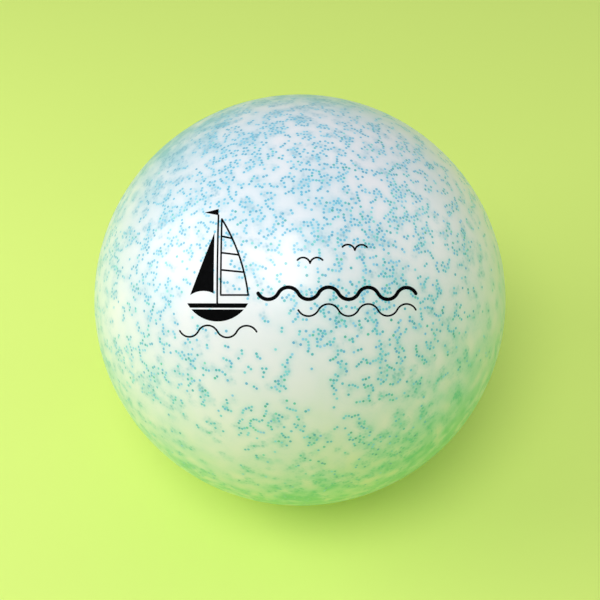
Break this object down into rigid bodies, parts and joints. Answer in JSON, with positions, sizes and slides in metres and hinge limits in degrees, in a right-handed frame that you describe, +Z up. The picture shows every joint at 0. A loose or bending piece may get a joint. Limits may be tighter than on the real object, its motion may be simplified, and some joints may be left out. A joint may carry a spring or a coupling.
{
  "type": "inflatable beach ball",
  "caption": "Round inflatable ball of milky vinyl with moulded-in glitter, a small printed boat-and-waves motif and a push-in safety valve with a hinged stopper.",
  "frame": {"origin": "centre of the small flat that the ball rests on, on the floor", "axes": "+Z up through the ball's centre, -Y the side that the printed motif faces (it also faces up, 52 degrees above the horizon), +Y the valve's axis, pointing out of the ball, +X to the motif's right"},
  "size_m": [0.3, 0.2996, 0.2993],
  "materials": {
    "skin": "gloss",
    "glitter_sky_blue": "gloss",
    "glitter_turquoise": "gloss",
    "glitter_sea_green": "gloss",
    "ink": "satin",
    "valve_vinyl": "satin",
    "flap_film": "gloss"
  },
  "bodies": {
    "ball": {"ball_skin": "skin", "glitter_sky_blue": "glitter_sky_blue", "glitter_turquoise": "glitter_turquoise", "glitter_sea_green": "glitter_sea_green", "printed_motif": "ink", "valve_flange": "valve_vinyl", "valve_web": "valve_vinyl"},
    "stem": {"valve_stem": "valve_vinyl", "stopper_strap": "valve_vinyl"},
    "stopper": {"stopper": "valve_vinyl"},
    "flap": {"check_flap": "flap_film"}
  },
  "joints": [
    {"name": "stem_pull", "type": "slide", "parent": "ball", "child": "stem", "axis": [0, 1, 0], "range_m": [0, 0.014], "deforming": ["valve_web"]},
    {"name": "stopper_hinge", "type": "hinge", "parent": "stem", "child": "stopper", "pos_m": [0, 0.1488, 0.14134], "axis": [-1, 0, 0], "range_deg": [0, 130]},
    {"name": "flap_hinge", "type": "hinge", "parent": "stem", "child": "flap", "pos_m": [0, 0.13615, 0.15394], "axis": [-1, 0, 0], "range_deg": [0, 60], "stiffness_Nm_per_rad": 0.00002}
  ]
}
